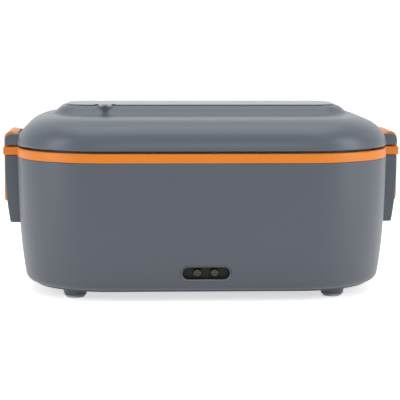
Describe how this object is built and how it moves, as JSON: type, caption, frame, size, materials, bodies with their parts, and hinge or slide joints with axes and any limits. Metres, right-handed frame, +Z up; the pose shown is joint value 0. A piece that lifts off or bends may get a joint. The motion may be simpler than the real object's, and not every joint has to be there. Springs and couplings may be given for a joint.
{
  "type": "electric lunch box",
  "caption": "Portable food warmer: grey drafted base with orange ring and inlet, lift-out steel tub, domed lift-off lid with covered compartment and steam plug, orange side clips.",
  "frame": {"origin": "on the table, under the middle of the box", "axes": "+X to the right along the length, -Y towards the inlet side, +Z up"},
  "size_m": [0.24, 0.168, 0.1122],
  "materials": {
    "casing": "satin",
    "lid": "satin",
    "cover": "satin",
    "orange": "satin",
    "tub_steel": "brushed",
    "liner": "satin",
    "silicone": "matte",
    "steel": "plain",
    "plated_steel": "polished",
    "black": "semi-gloss",
    "foot_rubber": "matte",
    "aluminium": "satin",
    "mica": "satin",
    "ceramic": "matte",
    "fuse_sleeve": "matte",
    "red_insulation": "satin",
    "blue_insulation": "satin"
  },
  "bodies": {
    "base": {"outer_shell": "casing", "liner_frame": "orange", "liner_basin": "orange", "inlet_socket": "black", "inlet_pins": "plated_steel", "inlet_screws": "steel", "bottom_cover": "casing", "bottom_screws": "steel", "rubber_feet": "foot_rubber", "heating_plate": "aluminium", "plate_seal": "silicone", "heater_element": "mica", "heater_clamp": "steel", "heater_screws": "steel", "thermostat": "ceramic", "thermostat_screws": "steel", "thermal_fuse": "fuse_sleeve", "fuse_clip": "steel", "terminal_sleeves": "red_insulation", "lead_live": "red_insulation", "lead_neutral": "blue_insulation", "lead_link": "blue_insulation", "lead_feed": "red_insulation"},
    "tub": {"food_container": "tub_steel"},
    "lid": {"lid_shell": "lid", "lid_liner": "liner", "seal_carrier": "liner", "seal_ring": "silicone"},
    "left_clip": {"clip_left": "orange"},
    "right_clip": {"clip_right": "orange"},
    "cover": {"compartment_cover": "cover", "cover_pins": "steel"},
    "steam_plug": {"vent_plug": "silicone"}
  },
  "joints": [
    {"name": "container_lift", "type": "slide", "parent": "base", "child": "tub", "axis": [0, 0, 1], "range_m": [0, 0.07]},
    {"name": "lid_lift", "type": "slide", "parent": "tub", "child": "lid", "axis": [0, 0, 1], "range_m": [0, 0.1]},
    {"name": "left_clip_swing", "type": "hinge", "parent": "lid", "child": "left_clip", "pos_m": [-0.1156, 0, 0.091], "axis": [0, 1, 0], "range_deg": [0, 100]},
    {"name": "right_clip_swing", "type": "hinge", "parent": "lid", "child": "right_clip", "pos_m": [0.1156, 0, 0.091], "axis": [0, -1, 0], "range_deg": [0, 100]},
    {"name": "cover_swing", "type": "hinge", "parent": "lid", "child": "cover", "pos_m": [0, 0.0216, 0.1101], "axis": [-1, 0, 0], "range_deg": [0, 100]},
    {"name": "vent_pull", "type": "slide", "parent": "lid", "child": "steam_plug", "axis": [0, 0, 1], "range_m": [0, 0.02]}
  ]
}
